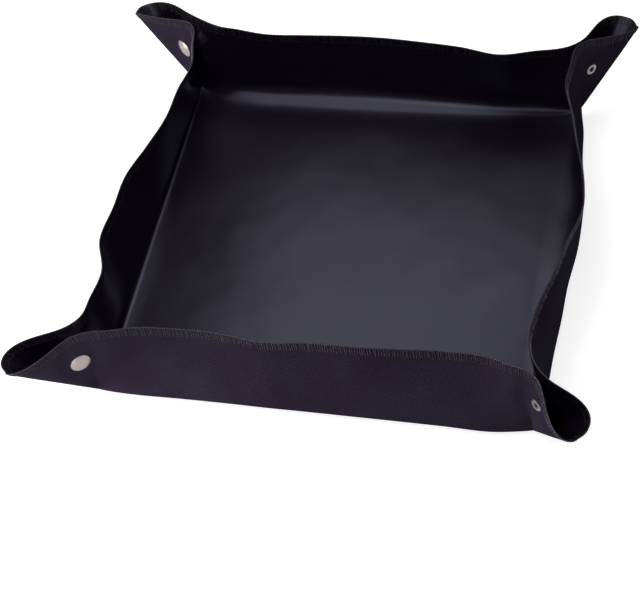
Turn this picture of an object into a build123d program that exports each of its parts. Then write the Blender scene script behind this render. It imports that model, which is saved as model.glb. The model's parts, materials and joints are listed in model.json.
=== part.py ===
"""Folding potting mat: a square coated sheet whose corners are pinched by snap fasteners into a tray.

Frame: +Z up, origin at the middle of the floor's underside, front wall towards -Y.
All lengths are millimetres and all angles are degrees.
"""
from build123d import *
import os
from math import asin, atan2, cos, degrees, hypot, radians, sin, sqrt, tan

# Sheet
sheet_size = 500.0
sheet_thickness = 0.8
wall_height = 72.0
tip_radius = 8.0
floor_half = sheet_size / 2 - wall_height

# Folds between the floor and the walls
fold_height = 6.5
fold_reach = 12.0
fold_taper_length = 18.0
fold_taper_middle = 8.0
fold_reach_middle = 6.0
fold_reach_end = 1.5
floor_gap = 0.7
floor_corner_gap = 1.5

# How far each wall's rim stands outward of its fold, at even steps from its left end, seen from outside
rim_leans = {
    "front": (0.0, -20.0, -17.0, -16.0, -18.0, -21.0, 0.0),
    "right": (0.0, -5.0, 7.0, 16.0, 11.0, -5.0, 0.0),
    "back": (0.0, -1.0, 3.0, 8.0, 7.0, 8.0, 0.0),
    "left": (0.0, -8.0, 0.0, 11.0, 13.0, 5.0, 0.0),
}
wall_angles = {"front": 0.0, "right": 90.0, "back": 180.0, "left": 270.0}
wall_steps = 12

# Pinched corners: each ear points outward along its diagonal, turned a little about the upright pinch line
ear_direction_angles = {"front_left": 225.0, "front_right": 315.0, "back_right": 45.0, "back_left": 135.0}
ear_turn_angles = {"front_left": -7.0, "front_right": 3.0, "back_right": 1.0, "back_left": 8.0}
ear_start_height = 16.0
ear_radius = 12.0
ear_seat_length = 28.0
crease_angle_foot = 30.0
crease_angle_rim = 0.8
pinch_start = 0.3
pinch_gap = 0.45

# Snap fasteners
snap_out = 9.0
snap_height = 52.0
layer_gap = 5.0
cap_radius = 8.4
cap_dome = 2.3
cap_edge = 0.6
cap_shoulder_radius_share = 0.6
cap_shoulder_height_share = 0.68
cap_barrel_radius = 2.2
barrel_clearance = 0.1
roll_lip = 0.9
roll_thickness = 0.35
socket_flange = 1.0
socket_base = 0.8
socket_clearance = 0.6
socket_wall = 1.2
socket_depth = 3.4
spring_wire = 0.6
spring_clearance = 0.25
spring_split_angle = 30.0
stud_flange_radius = 6.2
stud_flange = 0.7
stud_head_lip = 0.5
stud_wall = 0.7
stud_length = 3.1
stud_head_length = 0.9
stud_head_taper = 0.3
stud_head_land = 0.15
post_radius = 5.4
post_height = 1.1
post_edge = 0.55
post_barrel_radius = 2.5
post_wall = 0.4

# Overlock thread along the rim
thread_width = 6.0
thread_thickness = 0.4
thread_clearance = 0.1
thread_end_gap = 0.8
thread_crease_angle = 12.0

half_sheet = sheet_thickness / 2
layer_offset = layer_gap / 2 + half_sheet
wall_offset = layer_offset * cos(radians(45)) - pinch_gap / 2
wall_plane = floor_half + wall_offset
rim_length = wall_height - half_sheet
stud_neck_radius = post_barrel_radius + barrel_clearance + stud_wall
stud_head_radius = stud_neck_radius + stud_head_lip
socket_bore = stud_head_radius + socket_clearance
socket_radius = socket_bore + socket_wall + socket_flange
post_bore = post_barrel_radius - post_wall
thread_inner = half_sheet + thread_clearance
thread_outer = thread_inner + thread_thickness

# Cutters, long enough to pass right through what they cut
tip_cut = 4 * ear_radius
hole_cut = 4 * sheet_thickness
thread_cut = 2 * thread_width


def save(shape, name):
    """Write one sub-part."""
    shape.label = name
    export_step(shape, f"parts/{name}.step")


def smooth_value(values, share):
    """Value at a share of the way along a list of evenly spaced values, on a smooth curve through them."""
    spans = len(values) - 1
    place = min(max(share, 0.0), 1.0) * spans
    index = min(int(place), spans - 1)
    t = place - index
    b, c = values[index], values[index + 1]
    a = values[max(index - 1, 0)]
    d = values[min(index + 2, spans)]
    slope_b, slope_c = (c - a) / 2, (d - b) / 2
    curve = (2 * b + slope_b - 2 * c + slope_c) * t**3
    return curve + (3 * c - 3 * b - 2 * slope_b - slope_c) * t**2 + slope_b * t + b


def end_inset(side, turn):
    """Distance from a corner to the end of the wall on one side of its ear."""
    return layer_offset * cos(radians(45 - side * turn)) + pinch_gap


def wall_stations(wall):
    """Places along a wall, from its left end: along, fold reach and height of the fold's start."""
    corners = list(ear_direction_angles)
    index = list(wall_angles).index(wall)
    left = end_inset(1, ear_turn_angles[corners[index]])
    right = end_inset(-1, ear_turn_angles[corners[(index + 1) % 4]])
    inner = floor_half - fold_taper_length
    stations = [
        (left - floor_half, fold_reach_end, fold_height),
        (fold_taper_middle - floor_half, fold_reach_middle, 0.0),
    ]
    for step in range(wall_steps + 1):
        stations.append((inner * (2 * step / wall_steps - 1), fold_reach, 0.0))
    stations.append((floor_half - fold_taper_middle, fold_reach_middle, 0.0))
    stations.append((floor_half - right, fold_reach_end, fold_height))
    return stations


def rim_place(wall, along):
    """Rim of a wall at a place along it: outward, height and the upright's lean angle."""
    lean = smooth_value(rim_leans[wall], (along + floor_half) / (2 * floor_half))
    angle = asin(lean / rim_length)
    return wall_plane + lean, half_sheet + rim_length * cos(angle), angle


def upright_plane(along):
    """Plane across a front wall, with its first axis outward and its second axis up."""
    return Plane(origin=(along, 0, 0), x_dir=(0, -1, 0), z_dir=(-1, 0, 0))


def wall_section(wall, along, reach, lift):
    """Outline of the bent sheet across a wall: an arc up from the floor, then a straight upright."""
    out, height, angle = rim_place(wall, along)
    turn = degrees(angle)
    radius = reach / tan(radians(45) - angle / 2)
    middle = (wall_plane - reach, half_sheet + lift + radius)
    across = (cos(angle), -sin(angle))

    def arc_end(r):
        return (middle[0] + r * across[0], middle[1] + r * across[1])

    def rim_point(offset):
        return (out + offset * across[0], height + offset * across[1])

    outer, inner = radius + half_sheet, radius - half_sheet
    edges = [
        CenterArc(middle, outer, -90, 90 - turn),
        Line(arc_end(outer), rim_point(half_sheet)),
        Line(rim_point(half_sheet), rim_point(-half_sheet)),
        Line(rim_point(-half_sheet), arc_end(inner)),
        CenterArc(middle, inner, -90, 90 - turn),
        Line((middle[0], middle[1] - inner), (middle[0], middle[1] - outer)),
    ]
    return upright_plane(along) * make_face(edges)


def thread_section(wall, along):
    """Outline of the thread wrapped over a wall's rim."""
    out, height, angle = rim_place(wall, along)

    def place(offset, up):
        return (
            out + offset * cos(angle) + up * sin(angle),
            height - offset * sin(angle) + up * cos(angle),
        )

    top_inner = thread_clearance
    top_outer = thread_clearance + thread_thickness
    points = [
        place(thread_outer, -thread_width),
        place(thread_outer, top_outer),
        place(-thread_outer, top_outer),
        place(-thread_outer, -thread_width),
        place(-thread_inner, -thread_width),
        place(-thread_inner, top_inner),
        place(thread_inner, top_inner),
        place(thread_inner, -thread_width),
    ]
    return upright_plane(along) * make_face(Polyline(*points, close=True))


def make_floor():
    """Flat floor with corners that reach out between the tapering folds."""
    edge = wall_plane - fold_reach - floor_gap
    corner = wall_plane - fold_reach_middle - floor_corner_gap
    side = [
        (-(floor_half - fold_taper_middle), -corner),
        (-(floor_half - fold_taper_length), -edge),
        (floor_half - fold_taper_length, -edge),
        (floor_half - fold_taper_middle, -corner),
    ]
    points = []
    for turn in wall_angles.values():
        c, s = cos(radians(turn)), sin(radians(turn))
        points += [(c * x - s * y, s * x + c * y) for x, y in side]
    return extrude(make_face(Polyline(*points, close=True)), sheet_thickness)


def make_wall(wall):
    """Wall with its fold, bent sheet of even thickness."""
    sections = [wall_section(wall, *station) for station in wall_stations(wall)]
    return Rot(0, 0, wall_angles[wall]) * loft(sections, ruled=True)


def make_wall_thread(wall):
    """Thread along one wall's rim."""
    places = [station[0] for station in wall_stations(wall)]
    places[0] += thread_end_gap
    places[-1] -= thread_end_gap
    sections = [thread_section(wall, along) for along in places]
    return Rot(0, 0, wall_angles[wall]) * loft(sections, ruled=True)


def ear_outline(height, inner, outer, start, last):
    """Half of an ear's mouth at one height: a flat seat, a flare and the rounded crease, up to a last angle."""
    reach = height - fold_height
    share = reach / (wall_height - fold_height)
    radius = ear_radius * share
    middle = (reach - radius, 0.0)
    seat = ear_seat_length * share

    def flare(offset):
        seat_y = layer_offset + offset
        bend = radius + offset
        gap_x, gap_y = middle[0] - seat, middle[1] - seat_y
        distance = hypot(gap_x, gap_y)
        heading = atan2(gap_y, gap_x) + asin(bend / distance)
        run = sqrt(distance**2 - bend**2)
        touch = (seat + run * cos(heading), seat_y + run * sin(heading))
        arc = CenterArc(middle, bend, last, 90 + degrees(heading) - last)
        return seat_y, touch, arc, arc @ 0

    far_y, far_touch, far_arc, far_end = flare(outer)
    near_y, near_touch, near_arc, near_end = flare(inner)
    edges = [
        Line((start, far_y), (seat, far_y)),
        Line((seat, far_y), far_touch),
        far_arc,
        Line(far_end, near_end),
        near_arc,
        Line(near_touch, (seat, near_y)),
        Line((seat, near_y), (start, near_y)),
        Line((start, near_y), (start, far_y)),
    ]
    return Pos(0, 0, height) * make_face(edges)


def tip_trim(radius):
    """Block that rounds an ear's tip to a radius about a point on its crease."""
    middle = Pos(wall_height - fold_height - tip_radius, 0, wall_height - tip_radius)
    block = Box(tip_cut, tip_cut, tip_cut, align=(Align.MIN, Align.CENTER, Align.MIN))
    return middle * (block - Rot(90, 0, 0) * Cylinder(radius, 2 * tip_cut))


def ear_shell(bottom, top, inner, outer, start, last, trim):
    """Half of an ear as a ruled sheet between two heights, with the last angle of its crease at each."""
    low = ear_outline(bottom, inner, outer, start, last[0])
    high = ear_outline(top, inner, outer, start, last[1])
    return loft([low, high], ruled=True) - tip_trim(trim)


def snap_place(shape):
    """Put a piece turned about Z on the snap's axis, across the ear."""
    return Pos(snap_out, 0, snap_height) * Rot(-90, 0, 0) * shape


def make_flap(hole_radius):
    """Half of an ear, on the side of its cap, with the hole for the snap's barrel."""
    flap = ear_shell(
        ear_start_height,
        wall_height,
        -half_sheet,
        half_sheet,
        pinch_start,
        (crease_angle_foot, crease_angle_rim),
        tip_radius,
    )
    return flap - snap_place(Pos(0, 0, layer_offset) * Cylinder(hole_radius, hole_cut))


def make_flap_thread():
    """Thread wrapped over the rim of half of an ear."""
    top = wall_height + thread_clearance
    around = ear_shell(
        wall_height - thread_width,
        top + thread_thickness,
        -thread_outer,
        thread_outer,
        pinch_start,
        (thread_crease_angle, thread_crease_angle),
        tip_radius + thread_clearance + thread_thickness,
    )
    inside = ear_shell(
        wall_height - thread_cut,
        top,
        -thread_inner,
        thread_inner,
        pinch_start - thread_width,
        (-crease_angle_rim, -crease_angle_rim),
        tip_radius + thread_clearance,
    )
    return around - inside


def turned(points):
    """Solid of revolution about Z from a closed outline of straight edges, given as radius and height."""
    return revolve(Plane.XZ * make_face(Polyline(*points, close=True)), Axis.Z)


def make_cap():
    """Domed cap with the barrel that goes through the sheet and rolls over inside the socket."""
    seat = layer_gap / 2 + sheet_thickness
    roll_top = layer_gap / 2 - socket_base
    roll_bottom = roll_top - roll_thickness
    roll_radius = cap_barrel_radius + roll_lip
    shoulder = seat + cap_edge + (cap_dome - cap_edge) * cap_shoulder_height_share
    dome = ThreePointArc(
        (0, seat + cap_dome),
        (cap_radius * cap_shoulder_radius_share, shoulder),
        (cap_radius, seat + cap_edge),
    )
    rest = Polyline(
        (cap_radius, seat + cap_edge),
        (cap_radius, seat),
        (cap_barrel_radius, seat),
        (cap_barrel_radius, roll_top),
        (roll_radius, roll_top),
        (roll_radius, roll_bottom),
        (0, roll_bottom),
        (0, seat + cap_dome),
    )
    return revolve(Plane.XZ * make_face([dome, *rest.edges()]), Axis.Z)


def make_socket():
    """Socket on the inner face, with a groove that holds the spring."""
    top = layer_gap / 2
    base = top - socket_base
    mouth = top - socket_depth
    groove_radius = spring_middle() + spring_wire / 2 + spring_clearance
    groove_top = spring_height() + spring_wire / 2 + spring_clearance / 2
    groove_bottom = spring_height() - spring_wire / 2 - spring_clearance / 2
    hole = cap_barrel_radius + barrel_clearance
    return turned([
        (hole, top),
        (socket_radius, top),
        (socket_radius, base),
        (socket_bore + socket_wall, base),
        (socket_bore + socket_wall, mouth),
        (socket_bore, mouth),
        (socket_bore, groove_bottom),
        (groove_radius, groove_bottom),
        (groove_radius, groove_top),
        (socket_bore, groove_top),
        (socket_bore, base),
        (hole, base),
    ])


def spring_middle():
    """Radius of the spring's wire line, so that the stud's head passes it."""
    return stud_head_radius + spring_clearance + spring_wire / 2


def spring_height():
    """Height of the spring on the snap's axis, just under the widest part of the stud's head."""
    return stud_top() - stud_head_length - spring_wire / 2


def stud_top():
    """Height of the stud's head on the snap's axis."""
    return stud_length - layer_gap / 2


def make_spring():
    """Split ring spring."""
    wire = Pos(spring_middle(), 0, spring_height()) * Rot(90, 0, 0) * Circle(spring_wire / 2)
    return revolve(wire, Axis.Z, 360 - spring_split_angle)


def make_stud():
    """Stud on the inner face, with the head that the spring holds."""
    foot = -layer_gap / 2
    flange = foot + stud_flange
    top = stud_top()
    neck = top - stud_head_length
    hole = post_barrel_radius + barrel_clearance
    return turned([
        (hole, foot),
        (stud_flange_radius, foot),
        (stud_flange_radius, flange),
        (stud_neck_radius, flange),
        (stud_neck_radius, neck),
        (stud_head_radius, neck + stud_head_taper),
        (stud_head_radius, neck + stud_head_taper + stud_head_land),
        (stud_neck_radius, top),
        (hole, top),
    ])


def make_post():
    """Ring post on the outer face, with the barrel that goes through the sheet and rolls over on the stud."""
    seat = -layer_gap / 2 - sheet_thickness
    face = seat - post_height
    roll_bottom = stud_top()
    roll_top = roll_bottom + roll_thickness
    roll_radius = post_barrel_radius + roll_lip
    return turned([
        (post_barrel_radius, seat),
        (post_radius, seat),
        (post_radius, face + post_edge),
        (post_radius - post_edge, face),
        (post_bore + post_edge, face),
        (post_bore, face + post_edge),
        (post_bore, roll_top),
        (roll_radius, roll_top),
        (roll_radius, roll_bottom),
        (post_barrel_radius, roll_bottom),
    ])


def main():
    os.makedirs("parts", exist_ok=True)
    save(make_floor(), "floor_panel")
    for wall in wall_angles:
        save(make_wall(wall), f"{wall}_wall")
        save(make_wall_thread(wall), f"{wall}_wall_edge_thread")

    across = Plane.XZ
    cap_flap = make_flap(cap_barrel_radius + barrel_clearance)
    stud_flap = mirror(make_flap(post_barrel_radius + barrel_clearance), across)
    cap_thread = make_flap_thread()
    corner_pieces = {
        "cap_flap": cap_flap,
        "cap_flap_edge_thread": cap_thread,
        "stud_flap": stud_flap,
        "stud_flap_edge_thread": mirror(cap_thread, across),
        "snap_cap": snap_place(make_cap()),
        "snap_socket": snap_place(make_socket()),
        "snap_spring": snap_place(make_spring()),
        "snap_stud": snap_place(make_stud()),
        "snap_post": snap_place(make_post()),
    }
    for corner, direction in ear_direction_angles.items():
        x = floor_half * (1 if cos(radians(direction)) > 0 else -1)
        y = floor_half * (1 if sin(radians(direction)) > 0 else -1)
        place = Pos(x, y, 0) * Rot(0, 0, direction + ear_turn_angles[corner])
        for name, shape in corner_pieces.items():
            save(place * shape, f"{corner}_{name}")


main()
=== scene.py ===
"""Looks of the folding potting mat.

One coated sheet with an overlocked edge is pinched into a tray by four snaps.
Frame: metres, +Z up, origin under the middle of the floor, front wall towards -Y.
"""
import json
from math import cos, pi, radians, sin
import bpy
import numpy as np
from mathutils import Matrix, Quaternion, Vector

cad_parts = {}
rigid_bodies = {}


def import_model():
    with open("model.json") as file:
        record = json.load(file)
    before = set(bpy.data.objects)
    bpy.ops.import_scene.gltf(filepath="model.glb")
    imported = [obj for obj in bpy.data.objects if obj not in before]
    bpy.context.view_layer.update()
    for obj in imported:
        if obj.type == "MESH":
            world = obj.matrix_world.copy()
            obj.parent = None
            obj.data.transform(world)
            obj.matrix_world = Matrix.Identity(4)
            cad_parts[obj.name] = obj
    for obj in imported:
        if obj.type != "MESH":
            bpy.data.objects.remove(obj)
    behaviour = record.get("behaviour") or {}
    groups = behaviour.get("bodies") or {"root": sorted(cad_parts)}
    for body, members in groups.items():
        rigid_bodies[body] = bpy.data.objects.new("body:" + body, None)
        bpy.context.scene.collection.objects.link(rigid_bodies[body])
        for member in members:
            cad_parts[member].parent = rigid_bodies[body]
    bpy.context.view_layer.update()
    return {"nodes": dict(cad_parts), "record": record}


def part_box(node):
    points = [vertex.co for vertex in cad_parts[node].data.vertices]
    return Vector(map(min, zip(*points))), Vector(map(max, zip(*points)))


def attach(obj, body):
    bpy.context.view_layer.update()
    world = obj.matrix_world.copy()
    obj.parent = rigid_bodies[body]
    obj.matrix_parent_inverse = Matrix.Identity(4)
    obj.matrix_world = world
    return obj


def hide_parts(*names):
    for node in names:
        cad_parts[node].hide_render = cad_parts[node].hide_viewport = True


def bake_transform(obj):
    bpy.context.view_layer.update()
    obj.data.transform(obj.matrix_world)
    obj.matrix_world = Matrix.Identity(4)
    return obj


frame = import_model()
joints = {joint["name"]: joint for joint in frame["record"]["behaviour"]["joints"]}

mm = 0.001
tiny = 1e-12

# Sheet
floor_half = -joints["front_wall_fold"]["pos_m"][1]
fold_height = joints["front_wall_fold"]["pos_m"][2]
thickness = 0.8 * mm
wall_height = 72 * mm
tip_radius = 8 * mm

# Folds between the floor and the walls, which fade out towards the corners: how far each reaches into the
# floor, and by what share that grows from its middle to its right end, seen from outside
fold_reaches = {"front": 13 * mm, "right": 16 * mm, "back": 23 * mm, "left": 3.5 * mm}
fold_growths = {"front": 0, "right": 0, "back": 0.15, "left": 0}
fold_taper = 22 * mm
lift_taper = 12 * mm
wall_stand = 1.8 * mm
stand_taper = 10 * mm
end_taper = 22 * mm

# How far each fold bulges outward of its own line, in mm, at even steps from its left end, seen from outside
fold_stands = {
    "front": (0, 4, 5, 5.5, 6, 6.5, 7, 7.5, 8, 8, 0),
    "right": (0, 8.5, 10.5, 11.5, 11.5, 14, 15.5, 16, 11, 8.5, 0),
    "back": (0, 2, 2, 2, 2, 2, 2, 2, 2, 2, 0),
    "left": (0, 2, 2, 2, 2, 2, 2, 2, 2, 2, 0),
}

# How far each rim leans outward, past wall_stand, in mm, at even steps from its left end, seen from outside
rim_leans = {
    "front": (0, -18, -23, -22, -16, -20, -20, -22, -24, -20, 0),
    "right": (0, -9, -6, 3, 10, 18, 15, 6, -2, -10, 0),
    "back": (0, -1, -7, 0, 4, 7, 7, 5, 3, 6, 0),
    "left": (0, -12, -8, -6, 2, 12, 13, 15, 3, 4, 0),
}

# Turn of each wall from the front, and direction of each ear from +X, in degrees
wall_angles = {"front": 0, "right": 90, "back": 180, "left": 270}
ear_angles = {"front_left": 218, "front_right": 318, "back_right": 46, "back_left": 143}
corner_signs = {"front_left": (-1, -1), "front_right": (1, -1), "back_right": (1, 1), "back_left": (-1, 1)}

# Pinched corners. Each ear has a layer with the cap and a layer with the stud.
# For each layer: how far its rim stands from the ear's middle plane above the pinch, and how far it swells
# towards the tip. Then the rim's height at the pinch, and the tip's place: out, up and across. All in mm.
ear_shapes = {
    "front_left": {"cap": (-6, 9), "stud": (13, 16), "rise": 79, "tip": (68.5, 75.5, -2)},
    "front_right": {"cap": (4, 18), "stud": (-5, 13), "rise": 81, "tip": (63.5, 71.5, -9)},
    "back_right": {"cap": (6, 21), "stud": (-12, 6), "rise": 78, "tip": (64.5, 71, -2)},
    "back_left": {"cap": (-12, 3), "stud": (17, 19), "rise": 79, "tip": (66, 72, 14)},
}
flare_power = 1.5
swell_peak = 0.65

# Seats of the snaps, where the sheet lies flat
snap_out = 9 * mm
snap_height = (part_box("front_left_snap_cap")[0][2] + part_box("front_left_snap_cap")[1][2]) / 2
seat_offset = 2.9 * mm
seat_reach = 4 * seat_offset
seat_flat = 9 * mm
seat_fade = 14 * mm

# Fineness of the sheet's mesh
along_steps = 128
end_crowding = 0.6
bend_steps = 10
upright_steps = 26
ear_steps = 36

# Rounding of the sheet over the pinches, at the rim
rim_round = 12 * mm
rim_round_least = 0.01 * mm
rim_round_span = 50 * mm
rim_round_stations = 40

# How the bending is shared out between two neighbouring bodies
ear_bend_angle = radians(24)
ear_stiff_span = 14 * mm
ear_soft_span = 34 * mm
ear_stiff_angle = radians(20)
ear_soft_angle = radians(40)
crease_share_range = (0.4, 2.0)
crease_trials = 161
crease_pull = 2 * mm

# How a laid open wall's rim and foot keep off the ground, and where this starts from the corners
open_clearance = 4 * mm
open_ease_start = 45 * mm
open_ease_end = 80 * mm
open_floor = 0.8 * mm
open_foot_start = 15 * mm
open_foot_end = 50 * mm
open_trials = 101
rounding = 0.001 * mm

# Weave of the outer face
rib_pitch = 2.0 * mm
yarn_pitch = 1.1 * mm
yarn_share = 0.5

# Overlock stitches
stitch_pitch = 2.1 * mm
stitch_depth = 7.2 * mm
stitch_sway = 0.3
stitch_depth_range = (0.86, 1.06)
stitch_slant_range = (0.6, 1.5)
thread_radius = 0.24 * mm
thread_sides = 5
looper_lift = thickness / 2 + 0.7 * thread_radius
needle_lift = thickness / 2 + 0.8 * thread_radius
chain_radius = 0.34 * mm
chain_sway = 0.5 * chain_radius
chain_step = 0.7 * mm
chain_tones = (0.8, 0.6)

# Colours, as linear red, green and blue
white = (1, 1, 1)
coated_dark = (0.0056, 0.0027, 0.0084)
coated_light = (0.0088, 0.0050, 0.0128)
coated_tint = (0.72, 0.74, 1)
# Woven face, valleys and crowns of the weave: the darker valley colours are painted shade, the lighter crown
# colours painted light
valley_dark = (0.0145, 0.0099, 0.0186)
valley_light = (0.0174, 0.0151, 0.0244)
crown_dark = (0.0290, 0.0203, 0.0371)
crown_light = (0.0348, 0.0307, 0.0487)
thread_dark = (0.006, 0.004, 0.008)
thread_light = (0.046, 0.036, 0.054)
nickel_dark = (0.27, 0.23, 0.22)
nickel_light = (0.36, 0.31, 0.295)
# Darker copy of the nickel, for the posts; only the colour differs from the caps' nickel
darker_nickel_dark = (0.15, 0.13, 0.13)
darker_nickel_light = (0.29, 0.255, 0.25)
stage_grey = (0.75, 0.75, 0.75)

# Camera, from the photograph
camera_azimuth = radians(18.75)
camera_elevation = radians(49.91)
camera_roll = radians(-9.89)
camera_distance = 1.5314
camera_target = Vector((-0.01793, -0.05518, 0))
focal_pixels = 1805.2
image_width = 640
sensor_width = 36

# Studio: half the stage's width, how far its floor is lifted to white, and the world's level by height
stage_half = 6.0
floor_lift = 0.8
horizon_height = 0.02
overhead_height = 0.1
overhead_level = 0.12

wall_names = list(wall_angles)
corner_names = list(ear_angles)
sides = {"cap": 1, "stud": -1}


# Formulas

def smooth_step(t):
    t = np.clip(t, 0, 1)
    return t * t * (3 - 2 * t)


def smooth_curve(values, share):
    """Smooth curve through evenly spaced values, at shares of the way along."""
    values = np.asarray(values, float)
    spans = len(values) - 1
    place = np.clip(share, 0, 1) * spans
    index = np.minimum(place.astype(int), spans - 1)
    t = place - index
    b, c = values[index], values[index + 1]
    a, d = values[np.maximum(index - 1, 0)], values[np.minimum(index + 2, spans)]
    slope_b, slope_c = (c - a) / 2, (d - b) / 2
    cubic = 2 * b + slope_b - 2 * c + slope_c
    square = 3 * c - 3 * b - 2 * slope_b - slope_c
    return ((cubic * t + square) * t + slope_b) * t + b


def unit(vectors):
    return vectors / np.maximum(np.linalg.norm(vectors, axis=-1, keepdims=True), tiny)


def wall_ends(wall):
    """The two ends of a wall: corner, layer and sign of the way along."""
    index = wall_names.index(wall)
    return (corner_names[index], "cap", -1), (corner_names[(index + 1) % len(corner_names)], "stud", 1)


def owner_wall(corner, layer):
    """The wall that a layer of an ear is part of."""
    return wall_names[corner_names.index(corner) - (layer == "stud")]


def ear_axes(corner):
    """Foot of a pinch, the ear's outward direction and the direction across it, towards its cap."""
    x, y = corner_signs[corner]
    angle = radians(ear_angles[corner])
    foot = np.array([x * floor_half, y * floor_half, fold_height])
    return foot, np.array([cos(angle), sin(angle), 0]), np.array([-sin(angle), cos(angle), 0])


def pinch_offset(corner, layer, height):
    """Distance of a layer from its ear's middle plane at the pinch, in to the snap and over to the rim."""
    shape = ear_shapes[corner]
    gap, rise = shape[layer][0] * mm, shape["rise"] * mm
    ramp = np.clip((height - fold_height) / (snap_height - fold_height), 0, 1)
    flare = np.clip((height - snap_height) / (rise - snap_height), 0, None) ** flare_power
    return seat_offset * ramp + (gap - seat_offset) * flare


def to_wall(wall, points):
    """Turn points or flat places from the front wall's frame to another wall's."""
    angle = radians(wall_angles[wall])
    turned = points.copy()
    turned[..., 0] = cos(angle) * points[..., 0] - sin(angle) * points[..., 1]
    turned[..., 1] = sin(angle) * points[..., 0] + cos(angle) * points[..., 1]
    return turned


# Middle surface of the sheet, as one mesh of blocks that share their edges

steps = np.linspace(-1, 1, along_steps + 1)
stations = floor_half * ((1 - end_crowding) * steps + end_crowding * np.sin(pi * steps / 2))
corner_distance = floor_half - abs(stations)
reaches = {}
for wall, reach in fold_reaches.items():
    growth = 1 + fold_growths[wall] * stations / floor_half
    reaches[wall] = reach * growth * (1 - np.exp(-corner_distance / fold_taper))
rows = bend_steps + upright_steps
all_points, all_flats = [], []


def add_block(points, flats):
    """Add a block of points with their places on the flat sheet, and give their numbers."""
    start = sum(len(block) for block in all_points)
    all_points.append(points.reshape(-1, 3))
    all_flats.append(flats.reshape(-1, 2))
    return start + np.arange(points[..., 0].size).reshape(points.shape[:-1])


def floor_block():
    """The floor, whose edges are the starts of the four folds and whose corners rise to the pinches."""
    share = {wall: 1 - reach / floor_half for wall, reach in reaches.items()}
    beyond = stations > 0
    x = stations[:, None] * np.where(beyond[:, None], share["right"][None, :], share["left"][None, ::-1])
    y = stations[None, :] * np.where(beyond[None, :], share["back"][::-1, None], share["front"][:, None])
    z = np.full_like(x, thickness / 2)
    for corner in corner_names:
        foot = ear_axes(corner)[0]
        distance = np.hypot(x - foot[0], y - foot[1])
        z += (fold_height - thickness / 2) * np.exp(-distance / lift_taper)
    return add_block(np.stack([x, y, z], -1), np.stack([x, y], -1))


def floor_edge(wall):
    """Numbers of the floor's points along the start of a wall's fold."""
    return {
        "front": floor_numbers[:, 0],
        "right": floor_numbers[-1, :],
        "back": floor_numbers[::-1, -1],
        "left": floor_numbers[0, ::-1],
    }[wall]


def wall_block(wall):
    """One wall with its fold. Its rows run from the floor to the rim and meet in a point at its ends."""
    edge = floor_edge(wall)
    level = all_points[0][edge][:, 2]
    share = (stations + floor_half) / (2 * floor_half)
    lean = smooth_curve(rim_leans[wall], share) * mm
    fold_stand = smooth_curve(fold_stands[wall], share) * mm
    stand = wall_stand * (1 - np.exp(-corner_distance / stand_taper))
    length = wall_height - thickness / 2
    rim_up = thickness / 2 + np.sqrt(length**2 - lean**2)
    end_fade = {}
    for corner, layer, sign in wall_ends(wall):
        end_fade[corner] = np.exp(-(floor_half - sign * stations) / end_taper)
        rim_up = rim_up + (ear_shapes[corner]["rise"] * mm - wall_height) * end_fade[corner]

    reach = reaches[wall]
    foot = np.stack([stations, reach - floor_half, level], -1)
    bend = np.stack([stations, -floor_half - fold_stand, level], -1)
    rim = np.stack([stations, -floor_half - stand - lean, rim_up], -1)
    top = bend + reach[:, None] * unit(rim - bend)
    t = np.linspace(0, 1, bend_steps + 1)[None, :, None]
    q = np.linspace(0, 1, upright_steps + 1)[None, 1:, None]
    lower = (1 - t) ** 2 * foot[:, None] + 2 * t * (1 - t) * bend[:, None] + t**2 * top[:, None]
    points = np.concatenate([lower, top[:, None] + q * (rim - top)[:, None]], 1)

    opposite_turn = wall_names[-wall_names.index(wall)]
    for corner, layer, sign in wall_ends(wall):
        across = to_wall(opposite_turn, sides[layer] * ear_axes(corner)[2])
        shift = pinch_offset(corner, layer, points[..., 2]) * end_fade[corner][:, None]
        points = points + shift[..., None] * across

    run = np.linalg.norm(np.diff(points, axis=1), axis=-1).cumsum(1)
    outward = floor_half - reach[:, None] + np.concatenate([np.zeros((len(run), 1)), run], 1)
    flats = np.stack([np.broadcast_to(stations[:, None], outward.shape), -outward], -1)
    numbers = add_block(to_wall(wall, points), to_wall(wall, flats))
    numbers[:, 0] = edge
    numbers[0, : bend_steps + 1] = edge[0]
    numbers[-1, : bend_steps + 1] = edge[-1]
    return numbers, flats


def tip_share(along):
    """Share of the way from a pinch's foot to the rim at which the rounded tip cuts the sheet off."""
    middle = wall_height - tip_radius
    square = along**2 + wall_height**2
    half = middle * (along + wall_height)
    root = np.sqrt(np.maximum(half**2 - square * (2 * middle**2 - tip_radius**2), 0))
    return np.where(along > middle, (half + root) / square, 1)


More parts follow.
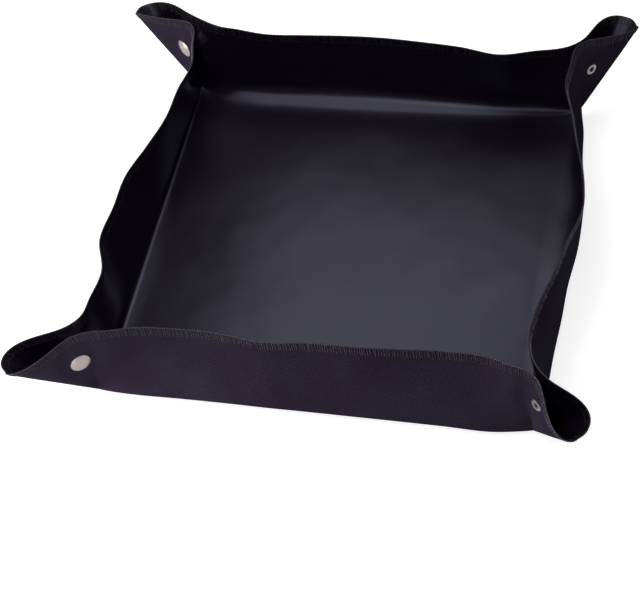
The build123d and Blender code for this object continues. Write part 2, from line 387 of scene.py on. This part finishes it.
def ear_block(corner, layer, wall_end, crease):
    """Half of an ear, from its pinch to its crease, with straight lines from the pinch's foot to the rim."""
    foot, out, across = ear_axes(corner)
    shape = ear_shapes[corner]
    gap, swell = (value * mm for value in shape[layer])
    tip_out, tip_up, tip_side = (value * mm for value in shape["tip"])
    side = sides[layer]
    turn = np.linspace(0, pi, ear_steps + 1)
    m = np.sin(turn / 2) ** 2
    bulge = swell * np.sin(turn) * m / swell_peak
    rim_up = shape["rise"] * mm * (1 - m) + tip_up * m - fold_height
    rim = np.stack([tip_out * m, side * (gap * (1 - m) + bulge) + tip_side * m, rim_up], -1)
    run = np.append(0, np.linalg.norm(np.diff(rim, axis=0), axis=1).cumsum())
    along = wall_height * run / run[-1]

    q = np.linspace(0, 1, upright_steps + 1)[None, :] * tip_share(along)[:, None]
    height = rim_up[:, None] * q
    pinch = pinch_offset(corner, layer, fold_height + height) * (1 - m)[:, None]
    offset = side * (pinch + bulge[:, None] * q) + tip_side * m[:, None] * q
    points = foot + (tip_out * m[:, None] * q)[..., None] * out + offset[..., None] * across
    points[..., 2] += height
    sign = -1 if layer == "cap" else 1
    flats = np.stack([sign * (floor_half + q * along[:, None]), -floor_half - q * wall_height], -1)
    numbers = add_block(points, to_wall(owner_wall(corner, layer), flats))
    numbers[0] = wall_end
    numbers[:, 0] = wall_end[0]
    if crease is not None:
        numbers[-1] = crease
    return numbers, flats


def grid_faces(numbers, flip):
    """Four-sided faces of a block of points."""
    a, b = numbers[:-1, :-1], numbers[1:, :-1]
    c, d = numbers[1:, 1:], numbers[:-1, 1:]
    return np.stack([a, d, c, b] if flip else [a, b, c, d], -1)


def ear_share(along, outward):
    """Share of a layer's turn that a place on its wall takes, by its distances from the pinch's foot."""
    return 1 - smooth_step(np.arctan2(along, outward) / ear_bend_angle)


def joint_between(parent, child):
    return next(j for j in joints.values() if j["parent"] == parent and j["child"] == child)


def full_turn(joint):
    return radians(joint["range_deg"][1])


def turn_about(points, joint, angles):
    """Points turned about a joint's axis by their own angles."""
    axis, origin = np.array(joint["axis"], float), np.array(joint["pos_m"])
    local = points - origin
    along = (local @ axis)[..., None] * axis
    side = local - along
    cosine, sine = np.cos(angles)[..., None], np.sin(angles)[..., None]
    return origin + along + cosine * side + sine * np.cross(axis, side)


def flat_weights(corner, layer, points):
    """Shares of a layer's turn that bring its points into the plane of its wall."""
    wall = owner_wall(corner, layer)
    joint = joint_between(f"{wall}_wall", f"{corner}_{layer}_flap")
    aim = to_wall(wall, np.array([-1.0 if layer == "cap" else 1.0, 0, 0]))
    local = points - ear_axes(corner)[0]
    turn = np.arctan2(local[..., 0] * aim[1] - local[..., 1] * aim[0], local[..., :2] @ aim[:2])
    return joint["axis"][2] * turn / full_turn(joint)


def laid_open(corner, layer, points, weights):
    """Points of a layer when the mat is laid open, for their shares of the layer's turn."""
    wall = owner_wall(corner, layer)
    flap_joint = joint_between(f"{wall}_wall", f"{corner}_{layer}_flap")
    wall_joint = joint_between("floor", f"{wall}_wall")
    turned = turn_about(points, flap_joint, weights * full_turn(flap_joint))
    return turn_about(turned, wall_joint, np.full(weights.shape, full_turn(wall_joint)))


def away_from_corners(start, end):
    """Shares along a wall that grow from none near its corners to full further in."""
    return smooth_step((corner_distance - start) / (end - start))


def clear_shares(points, joint):
    """Greatest share of a joint's turn that keeps each point above the ground."""
    trial = np.linspace(0, 1, open_trials)
    angles = np.broadcast_to(trial[:, None, None] * full_turn(joint), (open_trials, *points.shape[:2]))
    heights = turn_about(np.broadcast_to(points, (*angles.shape, 3)), joint, angles)[..., 2]
    clear = heights >= np.minimum(points[..., 2], open_floor) - rounding
    return trial[open_trials - 1 - clear[::-1].argmax(0)]


def wall_weights(wall):
    """Shares of a wall's turn: none at the floor, full above the fold, less where it meets the ground."""
    joint = joint_between("floor", f"{wall}_wall")
    points = middle[wall_numbers[wall]]
    rim = points[:, -1]
    height = turn_about(rim, joint, np.full(len(rim), full_turn(joint)))[:, 2]
    ease = np.maximum(open_clearance - height, 0) / (full_turn(joint) * wall_height)
    ease *= away_from_corners(open_ease_start, open_ease_end)
    shares = (1 - ease)[:, None] * smooth_step(np.arange(rows + 1) / bend_steps)
    foot_fade = away_from_corners(open_foot_start, open_foot_end)[:, None]
    return np.minimum(shares, 1 - foot_fade * (1 - clear_shares(points, joint)))


def crease_weights(corner):
    """Shares of the two layers' turns at which their creases meet again when the mat is laid open."""
    points = middle[ear_numbers[corner, "cap"][-1]]
    trial = np.linspace(*crease_share_range, crease_trials)
    spots, costs = [], []
    for layer in sides:
        weights = np.broadcast_to(trial[:, None], (len(trial), len(points)))
        spots.append(laid_open(corner, layer, np.broadcast_to(points, (*weights.shape, 3)), weights))
        costs.append((trial[:, None] - flat_weights(corner, layer, points)) ** 2 * crease_pull**2)
    gap = ((spots[0][:, None] - spots[1][None]) ** 2).sum(-1)
    cost = gap + costs[0][:, None] + costs[1][None]
    best = cost.reshape(-1, len(points)).argmin(0)
    return dict(zip(sides, (trial[best // len(trial)], trial[best % len(trial)])))


def ear_weights(corner, layer):
    """Shares of a layer's turn over half an ear: stiff about the snap, flat when laid open further out."""
    points = middle[ear_numbers[corner, layer]]
    flat = flat_weights(corner, layer, points)
    crease = crease_weights(corner)[layer] - flat[-1]
    share = np.linspace(0, 1, ear_steps + 1)[:, None] ** 2
    along = abs(ear_flats[corner, layer][..., 0]) - floor_half
    outward = -ear_flats[corner, layer][..., 1] - floor_half
    soft = smooth_step((along - ear_stiff_span) / (ear_soft_span - ear_stiff_span))
    angle = np.arctan2(along, np.maximum(outward, tiny))
    tilt = (angle - ear_stiff_angle) / (ear_soft_angle - ear_stiff_angle)
    soft = np.maximum(soft, smooth_step(tilt))
    return 1 + soft * (flat + share * crease - 1)


floor_numbers = floor_block()
wall_numbers, wall_flats, ear_numbers, ear_flats = {}, {}, {}, {}
for wall in wall_names:
    wall_numbers[wall], wall_flats[wall] = wall_block(wall)
for index, corner in enumerate(corner_names):
    cap_end = wall_numbers[wall_names[index]][0, bend_steps:]
    stud_end = wall_numbers[wall_names[index - 1]][-1, bend_steps:]
    ear_numbers[corner, "cap"], ear_flats[corner, "cap"] = ear_block(corner, "cap", cap_end, None)
    crease = ear_numbers[corner, "cap"][-1]
    ear_numbers[corner, "stud"], ear_flats[corner, "stud"] = ear_block(corner, "stud", stud_end, crease)
middle = np.concatenate(all_points)
flat_places = np.concatenate(all_flats)


# Round the sheet over the pinches, and seat it flat under the snaps

def rounded(line, middle_index, width, span):
    """A line of points, rounded about one of them, with less rounding further along."""
    gaps = np.linalg.norm(np.diff(line, axis=0), axis=1)
    run = np.append(0, gaps.cumsum())
    lengths = (np.append(gaps[0], gaps) + np.append(gaps, gaps[-1])) / 2
    spread = width * smooth_step(1 - abs(run - run[middle_index]) / span) + rim_round_least
    weights = np.exp(-(((run[:, None] - run[None]) / spread[:, None]) ** 2) / 2) * lengths
    return weights / weights.sum(1, keepdims=True) @ line


def round_rows(points):
    """Round every row of the sheet where it turns from a wall to an ear, more so towards the rim."""
    result = points.copy()
    for (corner, layer), ear in ear_numbers.items():
        wall = wall_numbers[owner_wall(corner, layer)]
        wall = wall if layer == "cap" else wall[::-1]
        lines = np.concatenate([ear[::-1], wall[1:rim_round_stations, bend_steps:]])
        for row in range(1, upright_steps + 1):
            share = row / upright_steps
            line = points[lines[:, row]]
            result[lines[:, row]] = rounded(line, ear_steps, rim_round * share**2, rim_round_span * share)
    return result


def seat_snaps(points):
    """Lay the sheet flat against each snap, on both layers of its ear."""
    points = points.copy()
    for (corner, layer), numbers in ear_numbers.items():
        foot, out, across = ear_axes(corner)
        wall = wall_numbers[owner_wall(corner, layer)]
        near = np.unique(np.concatenate([numbers.ravel(), wall[:, bend_steps:].ravel()]))
        local = points[near] - foot
        distance = np.hypot(local @ out - snap_out, points[near, 2] - snap_height)
        amount = smooth_step(1 - (distance - seat_flat) / seat_fade)
        amount *= abs(local @ across) < seat_reach
        move = amount * (sides[layer] * seat_offset - local @ across)
        points[near] += move[:, None] * across
    return points


middle = seat_snaps(round_rows(middle))


# Each piece of the sheet: its faces, the two bodies it bends between, its shares of the turn and its nodes

pieces = {}
floor_faces = grid_faces(floor_numbers, False).reshape(-1, 4)
pieces["floor_sheet"] = (floor_faces, ("floor", None), np.zeros(len(middle)), ["floor_panel"])
for wall in wall_names:
    numbers = wall_numbers[wall]
    faces = grid_faces(numbers, True)
    left = np.ones(faces.shape[:2], bool)
    for corner, layer, sign in wall_ends(wall):
        inward = floor_half - sign * wall_flats[wall][..., 0]
        share = ear_share(inward, -wall_flats[wall][..., 1] - floor_half)
        share[:, : bend_steps + 1] = 0
        turning = share > 0
        near = turning[:-1, :-1] | turning[1:, :-1] | turning[1:, 1:] | turning[:-1, 1:]
        left &= ~near
        ear = ear_numbers[corner, layer]
        weights = np.zeros(len(middle))
        weights[numbers] = share
        weights[ear[:, 1:]] = ear_weights(corner, layer)[:, 1:]
        own = np.concatenate([faces[near], grid_faces(ear, layer == "stud").reshape(-1, 4)])
        body = f"{corner}_{layer}_flap"
        pieces[f"{body}_sheet"] = (own, (f"{wall}_wall", body), weights, [body])
    weights = np.zeros(len(middle))
    weights[numbers] = wall_weights(wall)
    pieces[f"{wall}_wall_sheet"] = (faces[left], ("floor", f"{wall}_wall"), weights, [f"{wall}_wall"])
for faces, bodies, weights, nodes in pieces.values():
    weights[floor_numbers] = 0


def middle_normals():
    """Normals of the middle surface, towards its coated face."""
    normals = np.zeros_like(middle)
    for faces, bodies, weights, nodes in pieces.values():
        corners = middle[faces]
        cross = np.cross(corners[:, 2] - corners[:, 0], corners[:, 3] - corners[:, 1])
        for k in range(4):
            np.add.at(normals, faces[:, k], cross)
    return unit(normals)


normals = middle_normals()


# Materials

def new_material(name):
    """A material with its nodes, links and shader."""
    material = bpy.data.materials.new(name)
    material.use_nodes = True
    nodes, links = material.node_tree.nodes, material.node_tree.links
    return material, nodes, links, nodes["Principled BSDF"]


def add_node(nodes, kind, **values):
    """A node with some of its input values or settings set by name."""
    node = nodes.new(kind)
    for name, value in values.items():
        label = name.replace("_", " ")
        if label in node.inputs:
            node.inputs[label].default_value = value
        else:
            setattr(node, name, value)
    return node


def add_noise(nodes, links, place, scale, detail=3.0, roughness=0.55):
    noise = add_node(nodes, "ShaderNodeTexNoise", Scale=scale, Detail=detail, Roughness=roughness)
    links.new(place, noise.inputs["Vector"])
    return noise.outputs["Fac"]


def add_range(nodes, links, value, low, high, start=0.0, end=1.0):
    ranged = add_node(nodes, "ShaderNodeMapRange")
    for name, number in zip(("From Min", "From Max", "To Min", "To Max"), (start, end, low, high)):
        ranged.inputs[name].default_value = number
    links.new(value, ranged.inputs["Value"])
    return ranged.outputs["Result"]


def add_mix(nodes, links, factor, first, second):
    mix = add_node(nodes, "ShaderNodeMix", data_type="RGBA")
    links.new(factor, mix.inputs["Factor"])
    colour_inputs = [socket for socket in mix.inputs if socket.type == "RGBA"]
    for socket, colour in zip(colour_inputs, (first, second)):
        if isinstance(colour, tuple):
            socket.default_value = (*colour, 1)
        else:
            links.new(colour, socket)
    return next(socket for socket in mix.outputs if socket.type == "RGBA")


def add_bump(nodes, links, height, distance, strength=1.0, normal=None):
    bump = add_node(nodes, "ShaderNodeBump", Strength=strength, Distance=distance)
    links.new(height, bump.inputs["Height"])
    if normal is not None:
        links.new(normal, bump.inputs["Normal"])
    return bump.outputs["Normal"]


def add_math(nodes, links, operation, first, second):
    node = add_node(nodes, "ShaderNodeMath", operation=operation)
    for socket, value in zip(node.inputs, (first, second)):
        if isinstance(value, (int, float)):
            socket.default_value = value
        else:
            links.new(value, socket)
    return node.outputs["Value"]


def add_wave(nodes, links, place, pitch):
    """Sine wave of a given pitch over a place."""
    angle = add_math(nodes, links, "MULTIPLY", place, 2 * pi / pitch)
    return add_math(nodes, links, "SINE", angle, 0.0)


def flat_place(nodes):
    """Place on the flat sheet, as each piece of it carries it."""
    return add_node(nodes, "ShaderNodeAttribute", attribute_name="flat_place").outputs["Vector"]


def coated_material():
    """Coated face: almost black, with a soft sheen, fine grain and a slightly uneven surface."""
    material, nodes, links, shader = new_material("coated_face")
    place = flat_place(nodes)
    shade = add_noise(nodes, links, place, scale=30)
    links.new(add_mix(nodes, links, shade, coated_dark, coated_light), shader.inputs["Base Color"])
    haze = add_noise(nodes, links, place, scale=14, detail=4)
    haze = add_range(nodes, links, haze, low=0.19, high=0.26, start=0.3, end=0.7)
    links.new(haze, shader.inputs["Roughness"])
    swell = add_noise(nodes, links, place, scale=11, detail=2)
    swell = add_bump(nodes, links, swell, distance=1.0 * mm)
    grain = add_noise(nodes, links, place, scale=1600, detail=2)
    grain = add_bump(nodes, links, grain, distance=0.03 * mm, strength=0.6, normal=swell)
    links.new(grain, shader.inputs["Normal"])
    shader.inputs["Specular IOR Level"].default_value = 0.35
    shader.inputs["Specular Tint"].default_value = (*coated_tint, 1)
    return material


def woven_material():
    """Woven face: matt yarns in a fine twill, with a slightly uneven colour, painted shade in the valleys of
    the weave and painted light on its crowns.
    """
    material, nodes, links, shader = new_material("woven_face")
    place = flat_place(nodes)
    apart = add_node(nodes, "ShaderNodeSeparateXYZ")
    links.new(place, apart.inputs["Vector"])
    diagonal = add_math(nodes, links, "ADD", apart.outputs["X"], apart.outputs["Y"])
    ribs = add_wave(nodes, links, diagonal, rib_pitch)
    across = add_math(nodes, links, "SUBTRACT", apart.outputs["X"], apart.outputs["Y"])
    yarns = add_wave(nodes, links, across, yarn_pitch)
    weave = add_math(nodes, links, "ADD", ribs, add_math(nodes, links, "MULTIPLY", yarns, yarn_share))
    patch = add_noise(nodes, links, place, scale=13, detail=4)
    patch = add_range(nodes, links, patch, low=0, high=1, start=0.35, end=0.65)
    valley = add_mix(nodes, links, patch, valley_dark, valley_light)
    crown = add_mix(nodes, links, patch, crown_dark, crown_light)
    # Colour follows the weave's height: painted shade in its valleys, painted light on its crowns
    height = add_range(nodes, links, weave, low=0, high=1, start=-1.2, end=1.2)
    links.new(add_mix(nodes, links, height, valley, crown), shader.inputs["Base Color"])
    bump = add_bump(nodes, links, weave, distance=0.14 * mm, strength=0.8)
    links.new(bump, shader.inputs["Normal"])
    shader.inputs["Roughness"].default_value = 0.9
    shader.inputs["Specular IOR Level"].default_value = 0.0
    return material


def thread_material():
    """Twisted polyester thread with a faint gloss."""
    material, nodes, links, shader = new_material("overlock_thread")
    place = add_node(nodes, "ShaderNodeTexCoord").outputs["Object"]
    twist = add_noise(nodes, links, place, scale=900)
    tone = add_node(nodes, "ShaderNodeAttribute", attribute_name="thread_tone").outputs["Fac"]
    strands = add_range(nodes, links, twist, low=0.5, high=1.3, start=0.3, end=0.7)
    tone = add_math(nodes, links, "MULTIPLY", tone, strands)
    links.new(add_mix(nodes, links, tone, thread_dark, thread_light), shader.inputs["Base Color"])
    links.new(add_bump(nodes, links, twist, distance=0.1 * mm), shader.inputs["Normal"])
    shader.inputs["Roughness"].default_value = 0.5
    return material


def nickel_material(name, dark, light):
    """Plated snap metal with fine scuffs."""
    material, nodes, links, shader = new_material(name)
    place = add_node(nodes, "ShaderNodeTexCoord").outputs["Object"]
    scuff = add_noise(nodes, links, place, scale=700, detail=5, roughness=0.7)
    links.new(add_mix(nodes, links, scuff, dark, light), shader.inputs["Base Color"])
    gloss = add_range(nodes, links, scuff, low=0.24, high=0.42, start=0.3, end=0.7)
    links.new(gloss, shader.inputs["Roughness"])
    bump = add_bump(nodes, links, scuff, distance=0.02 * mm, strength=0.5)
    links.new(bump, shader.inputs["Normal"])
    shader.inputs["Metallic"].default_value = 1
    return material


coated, woven, thread = coated_material(), woven_material(), thread_material()
nickel = nickel_material("satin_nickel", nickel_dark, nickel_light)
dull_nickel = nickel_material("dull_nickel", darker_nickel_dark, darker_nickel_light)


# Pieces of the sheet

def plain_faces(faces):
    """Faces as lists, with repeated points left out."""
    result = []
    for face in faces.tolist():
        kept = [p for k, p in enumerate(face) if p != face[k - 1]]
        if len(kept) > 2:
            result.append(kept)
    return result


def make_object(name, points, faces):
    """An object of the scene from points and faces."""
    mesh = bpy.data.meshes.new(name)
    mesh.from_pydata(points.tolist(), [], faces)
    mesh.update()
    piece = bpy.data.objects.new(name, mesh)
    bpy.context.scene.collection.objects.link(piece)
    return piece


def bend_between(piece, bodies):
    """Let a piece turn with one body; a piece between two bodies only has its place baked into its points.
    """
    if bodies[1] is None:
        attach(piece, bodies[0])
        return
    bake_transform(piece)


def set_normals(mesh, point_normals, rim_count):
    """Smooth normals from the middle surface, and plain ones on the cut edge's faces, the last ones."""
    corner_points = np.zeros(len(mesh.loops), np.int32)
    mesh.loops.foreach_get("vertex_index", corner_points)
    loop_normals = point_normals[corner_points]
    face_normals = np.zeros(3 * len(mesh.polygons), np.float32)
    mesh.polygons.foreach_get("normal", face_normals)
    rim_start = mesh.polygons[len(mesh.polygons) - rim_count].loop_start
    loop_normals[rim_start:] = np.repeat(face_normals.reshape(-1, 3)[-rim_count:], 4, axis=0)
    mesh.normals_split_custom_set(loop_normals.tolist())


def sheet_piece(name, faces, bodies, nodes):
    """Closed piece of the sheet with its coated face inside and its woven face outside."""
    used, local = np.unique(faces, return_inverse=True)
    inner = plain_faces(local.reshape(faces.shape))
    count = len(used)
    centre, normal = middle[used], normals[used]
    points = np.concatenate([centre + normal * thickness / 2, centre - normal * thickness / 2])
    directed = {(face[k - 1], face[k]) for face in inner for k in range(len(face))}
    edge = sorted((a, b) for a, b in directed if (b, a) not in directed)
    outer = [[p + count for p in reversed(face)] for face in inner]
    rim = [[b, a, a + count, b + count] for a, b in edge]
    piece = make_object(name, points, inner + outer + rim)
    mesh = piece.data
    mesh.materials.append(coated)
    mesh.materials.append(woven)
    index = np.repeat([0, 1], [len(inner), len(outer) + len(rim)]).astype(np.int32)
    mesh.polygons.foreach_set("material_index", index)
    mesh.polygons.foreach_set("use_smooth", np.ones(len(mesh.polygons), bool))
    place = mesh.attributes.new("flat_place", "FLOAT_VECTOR", "POINT")
    flat = np.concatenate([np.tile(flat_places[used], (2, 1)), np.zeros((2 * count, 1))], 1)
    place.data.foreach_set("vector", flat.astype(np.float32).ravel())
    set_normals(mesh, np.concatenate([normal, -normal]), len(rim))
    bend_between(piece, bodies)
    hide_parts(*nodes)


for name, (faces, bodies, weights, nodes) in pieces.items():
    sheet_piece(name, faces, bodies, nodes)


# Overlock stitches along the whole rim

def rim_loop():
    """Points of the rim in order round the sheet, and the piece that each step along it belongs to."""
    loop, owners = [], []
    for index, wall in enumerate(wall_names):
        corner = corner_names[(index + 1) % len(corner_names)]
        numbers = wall_numbers[wall]
        loop += list(numbers[:-1, -1])
        for i in range(along_steps):
            step = numbers[i : i + 2, -1]
            owner = f"{wall}_wall"
            for near, layer, sign in wall_ends(wall):
                weights = pieces[f"{near}_{layer}_flap_sheet"][2]
                if (weights[step] > 0).any():
                    owner = f"{near}_{layer}_flap"
            owners.append(owner)
        for layer, order in (("stud", 1), ("cap", -1)):
            ear = ear_numbers[corner, layer][::order, -1]
            loop += list(ear[:-1])
            owners += [f"{corner}_{layer}_flap"] * ear_steps
    return np.array(loop), owners


def rim_frames():
    """Points round the rim with their owners, places, normals, downward directions and distances run."""
    below = {}
    for numbers in [*wall_numbers.values(), *ear_numbers.values()]:
        below.update(zip(numbers[:, -1].tolist(), numbers[:, -2].tolist()))
    loop, owners = rim_loop()
    closed = np.append(loop, loop[0])
    place = middle[closed]
    down = unit(middle[[below[p] for p in closed.tolist()]] - place)
    run = np.append(0, np.linalg.norm(np.diff(place, axis=0), axis=1).cumsum())
    return closed, owners, place, normals[closed], down, run


closed_rim, rim_owners, rim_places, rim_normals, rim_downs, rim_run = rim_frames()
stitch_count = int(rim_run[-1] / stitch_pitch)
pitch = rim_run[-1] / stitch_count


def on_rim(run, depth, height):
    """Places by distance along the rim, depth below it and height off the middle, towards the coating."""
    run = np.mod(run, rim_run[-1])

    def mix(values):
        return np.stack([np.interp(run, rim_run, values[:, k]) for k in range(3)], -1)

    down = unit(mix(rim_downs)) * depth[..., None]
    outward = unit(mix(rim_normals)) * height[..., None]
    return mix(rim_places) + down + outward


def tubes(paths, radius, guide):
    """Closed tubes along paths of equal length, as points and faces. A guide sets each ring's turn."""
    count, length = paths.shape[:2]
    tangent = unit(np.gradient(paths, axis=1))
    first = unit(np.cross(tangent, guide))
    second = np.cross(tangent, first)
    angle = 2 * pi * np.arange(thread_sides) / thread_sides
    ring = first[:, :, None] * np.cos(angle)[:, None] + second[:, :, None] * np.sin(angle)[:, None]
    points = (paths[:, :, None] + radius * ring).reshape(-1, 3)
    numbers = np.arange(count * length * thread_sides).reshape(count, length, thread_sides)
    after = np.roll(numbers, -1, axis=2)
    side = np.stack([numbers[:, :-1], after[:, :-1], after[:, 1:], numbers[:, 1:]], -1).reshape(-1, 4)
    ends = numbers[:, 0, ::-1].tolist() + numbers[:, -1].tolist()
    return points, side.tolist() + ends


def stitch_paths(starts, slants, depths):
    """Looper threads: up the coated face, over the edge and down the woven face.

    Each point of their shape has shares of the slant, of the depth and of the lift off the sheet.
    """
    shape = np.array([
        (-0.45, 1.0, 0.6), (-0.38, 0.85, 1.0), (-0.2, 0.5, 1.0), (-0.05, 0.12, 1.0), (0.0, -0.07, 0.0),
        (0.05, 0.12, -1.0), (0.2, 0.5, -1.0), (0.38, 0.85, -1.0), (0.45, 1.0, -0.6),
    ])
    run = starts[:, None] + shape[None, :, 0] * slants[:, None]
    height = np.broadcast_to(shape[:, 2] * looper_lift, run.shape)
    return on_rim(run, shape[:, 1] * depths[:, None], height), run


def needle_paths(starts, depths):
    """Needle thread: one short straight stitch after another along the coated face.

    Each point of their shape has shares of the pitch and of the lift off the sheet.
    """
    shape = np.array([(-0.5, 0.0), (-0.25, 1.0), (0.25, 1.0), (0.5, 0.0)])
    run = starts[:, None] + shape[None, :, 0] * pitch
    depth = np.broadcast_to(depths[:, None], run.shape)
    height = np.broadcast_to(shape[:, 1] * needle_lift, run.shape)
    return on_rim(run, depth, height), run


def chain_paths(start, end):
    """Looper threads locked together along the edge, as two strands wound round each other."""
    count = max(int((end - start) / chain_step), 2)
    run = np.broadcast_to(np.linspace(start, end, count + 1), (2, count + 1))
    phase = 2 * pi * run / pitch + np.array([[0], [pi]])
    return on_rim(run, chain_sway * np.sin(phase), chain_radius * np.cos(phase)), run


def overlock(owner):
    """The stitches on one piece of the sheet."""
    steps_owned = np.array([name == owner for name in rim_owners])
    first = np.flatnonzero(steps_owned & ~np.roll(steps_owned, 1))[0]
    low = rim_run[first]
    high = low + np.diff(rim_run)[steps_owned].sum()
    starts = np.arange(np.ceil(low / pitch), np.ceil(high / pitch)) * pitch
    chance = np.random.default_rng(len(owner) + int(low / mm))
    starts = starts + stitch_sway * pitch * chance.uniform(-1, 1, len(starts))
    depths = stitch_depth * chance.uniform(*stitch_depth_range, len(starts))
    slants = pitch * chance.uniform(*stitch_slant_range, len(starts))
    shades = chance.uniform(0, 1, len(starts)) ** 2

    points, faces, runs, tones = [], [], [], []
    for (paths, run), radius, tone in (
        (stitch_paths(starts, slants, depths), thread_radius, shades),
        (needle_paths(starts, depths), thread_radius, shades),
        (chain_paths(low, high), chain_radius, np.array(chain_tones)),
    ):
        none = np.zeros(run.shape)
        guide = on_rim(run + pitch, none, none) - on_rim(run - pitch, none, none)
        if radius == chain_radius:
            guide = np.cross(guide, on_rim(run, none + mm, none) - on_rim(run, none, none))
        tube_points, tube_faces = tubes(paths, radius, guide)
        offset = sum(len(block) for block in points)
        faces += [[p + offset for p in face] for face in tube_faces]
        points.append(tube_points)
        runs.append(np.repeat(run.ravel(), thread_sides))
        tones.append(np.repeat(tone, run.shape[1] * thread_sides))
    piece = make_object(f"{owner}_overlock", np.concatenate(points), faces)
    piece.data.materials.append(thread)
    piece.data.polygons.foreach_set("use_smooth", np.ones(len(piece.data.polygons), bool))
    tone = piece.data.attributes.new("thread_tone", "FLOAT", "POINT")
    tone.data.foreach_set("value", np.concatenate(tones).astype(np.float32))
    sheet_faces, bodies, weights, nodes = pieces[f"{owner}_sheet"]
    bend_between(piece, bodies)
    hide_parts(f"{owner}_edge_thread")


for owner in sorted(set(rim_owners)):
    overlock(owner)


# Snap fasteners keep their own shapes
for name, node in frame["nodes"].items():
    if "_snap_" in name:
        node.data.materials.clear()
        # The posts get the darker copy of the same nickel
        node.data.materials.append(dull_nickel if name.endswith("_post") else nickel)


# Stage, lights and camera

def make_stage():
    """Pale floor. It is lifted to white where it is seen, and keeps the object's shadow."""
    points = stage_half * np.array([(-1, -1, 0), (1, -1, 0), (1, 1, 0), (-1, 1, 0)])
    stage = make_object("floor_stage", points, [(0, 1, 2, 3)])
    material, nodes, links, shader = new_material("pale_floor")
    shader.inputs["Base Color"].default_value = (*stage_grey, 1)
    shader.inputs["Roughness"].default_value = 0.9
    shader.inputs["Specular IOR Level"].default_value = 0.0
    shader.inputs["Emission Color"].default_value = (*white, 1)
    path = add_node(nodes, "ShaderNodeLightPath")
    seen = add_math(nodes, links, "MAXIMUM", path.outputs["Is Camera Ray"], path.outputs["Is Glossy Ray"])
    seen = add_math(nodes, links, "MAXIMUM", seen, path.outputs["Is Transmission Ray"])
    links.new(add_math(nodes, links, "MULTIPLY", seen, floor_lift), shader.inputs["Emission Strength"])
    stage.data.materials.append(material)


def make_light(name, place, aim, size, level, spin=0):
    """Soft rectangular lamp of an even level over its face."""
    light = bpy.data.lights.new(name, "AREA")
    light.shape = "RECTANGLE"
    light.size, light.size_y = size
    light.energy = level * pi * size[0] * size[1]
    lamp = bpy.data.objects.new(name, light)
    lamp.location = place
    facing = (Vector(aim) - Vector(place)).to_track_quat("-Z", "Y")
    lamp.rotation_euler = (Quaternion((0, 0, 1), radians(spin)) @ facing).to_euler()
    bpy.context.scene.collection.objects.link(lamp)


def make_world():
    """Studio that is white at the horizon and dim overhead."""
    world = bpy.data.worlds.new("studio")
    world.use_nodes = True
    nodes, links = world.node_tree.nodes, world.node_tree.links
    background = nodes["Background"]
    background.inputs["Color"].default_value = (*white, 1)
    apart = add_node(nodes, "ShaderNodeSeparateXYZ")
    links.new(add_node(nodes, "ShaderNodeTexCoord").outputs["Generated"], apart.inputs["Vector"])
    height = apart.outputs["Z"]
    level = add_range(nodes, links, height, 1.0, overhead_level, horizon_height, overhead_height)
    links.new(level, background.inputs["Strength"])
    bpy.context.scene.world = world


def make_camera():
    """Camera at the photograph's viewing angle, with its small roll."""
    a, e = camera_azimuth, camera_elevation
    back = Vector((sin(a) * cos(e), -cos(a) * cos(e), sin(e)))
    right = Vector((cos(a), sin(a), 0))
    up = back.cross(right)
    turn = Matrix((right, up, back)).transposed().to_4x4() @ Matrix.Rotation(camera_roll, 4, "Z")
    camera = bpy.data.cameras.new("camera")
    camera.sensor_width = sensor_width
    camera.lens = focal_pixels / image_width * sensor_width
    holder = bpy.data.objects.new("camera", camera)
    holder.matrix_world = Matrix.Translation(camera_target + back * camera_distance) @ turn
    bpy.context.scene.collection.objects.link(holder)
    bpy.context.scene.camera = holder


make_stage()
# Each lamp's place, aim and size in metres, its level and its turn in degrees
make_light("front_strip", (-0.25, -0.53, 0.04), (-0.2, -0.2, 0.04), (0.25, 0.08), 16)
make_light("grazing_strip", (-0.8, -0.38, 0.035), (0.2, -0.22, 0.035), (0.4, 0.07), 90)
make_light("right_strip", (0.75, -0.3, 0.035), (0.2, -0.1, 0.035), (0.6, 0.07), 6)
make_light("overhead_softbox", (-0.14, 0.125, 0.62), (-0.14, 0.125, 0), (0.41, 0.94), 2.3, -10)
make_light("back_softbox", (0.13, 0.74, 0.62), (0.13, 0.74, 0), (0.4, 0.3), 0.3)
make_light("front_fill", (-0.03, -0.55, 0.9), (0, 0.15, 0.03), (0.36, 0.5), 1.8)
make_world()
make_camera()
bpy.context.scene.view_settings.view_transform = "Standard"
